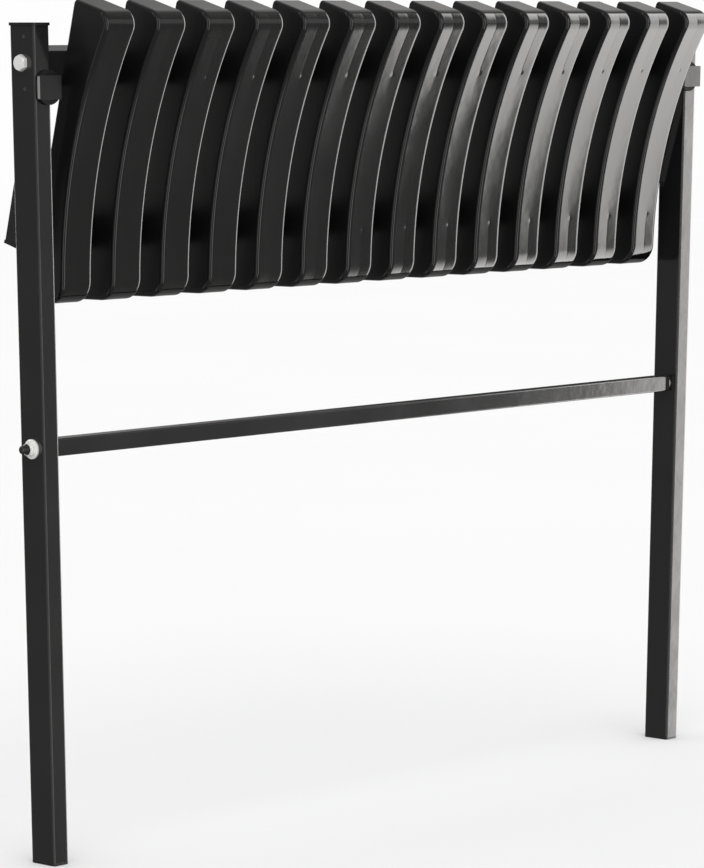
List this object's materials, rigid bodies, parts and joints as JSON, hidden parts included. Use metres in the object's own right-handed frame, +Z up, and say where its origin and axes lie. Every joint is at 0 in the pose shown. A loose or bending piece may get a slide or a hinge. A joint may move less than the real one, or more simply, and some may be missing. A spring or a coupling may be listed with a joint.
{
  "type": "garden kneeler seat",
  "caption": "Slatted plastic seat panel that swings on pivot bolts between two upright tube legs joined by a spreader.",
  "frame": {"origin": "on the floor, midway between the two legs and at the middle of the whole depth with the seat hanging at rest", "axes": "+Z up, -Y out of the front face, +X from the left leg to the right leg as seen from the front"},
  "size_m": [0.7832, 0.0929, 0.6154],
  "materials": {
    "frame_paint": "glossy black powder coat",
    "slat_plastic": "glossy black moulded plastic",
    "cap_plastic": "black moulded plastic, slight sheen",
    "spacer_plastic": "dull black moulded plastic",
    "nylon": "dark nylon",
    "zinc": "bright zinc plating",
    "bare_steel": "plain steel",
    "dark_steel": "dark oiled thread"
  },
  "bodies": {
    "frame": {"leg_left": "frame_paint", "leg_right": "frame_paint", "top_caps": "cap_plastic", "foot_plugs": "cap_plastic", "spreader": "frame_paint", "spreader_plugs": "bare_steel", "spreader_studs": "dark_steel", "spreader_washers": "zinc", "flange_nuts": "zinc", "nut_rings": "nylon", "stop_plates": "frame_paint", "stop_discs": "spacer_plastic", "pivot_bushes": "nylon"},
    "seat": {"pivot_bolts": "zinc", "pivot_inserts": "bare_steel", "upper_rail": "frame_paint", "lower_rail": "frame_paint", "arm_left": "frame_paint", "arm_right": "frame_paint", "arm_caps": "cap_plastic", "slat_screws": "zinc", "slat_01": "slat_plastic", "slat_02": "slat_plastic", "slat_03": "slat_plastic", "slat_04": "slat_plastic", "slat_05": "slat_plastic", "slat_06": "slat_plastic", "slat_07": "slat_plastic", "slat_08": "slat_plastic", "slat_09": "slat_plastic", "slat_10": "slat_plastic", "slat_11": "slat_plastic", "slat_12": "slat_plastic", "slat_13": "slat_plastic", "slat_14": "slat_plastic"}
  },
  "joints": [
    {"name": "seat_hinge", "type": "hinge", "parent": "frame", "child": "seat", "pos_m": [0, 0.0042, 0.573], "axis": [1, 0, 0], "range_deg": [-25, 244.5]}
  ]
}
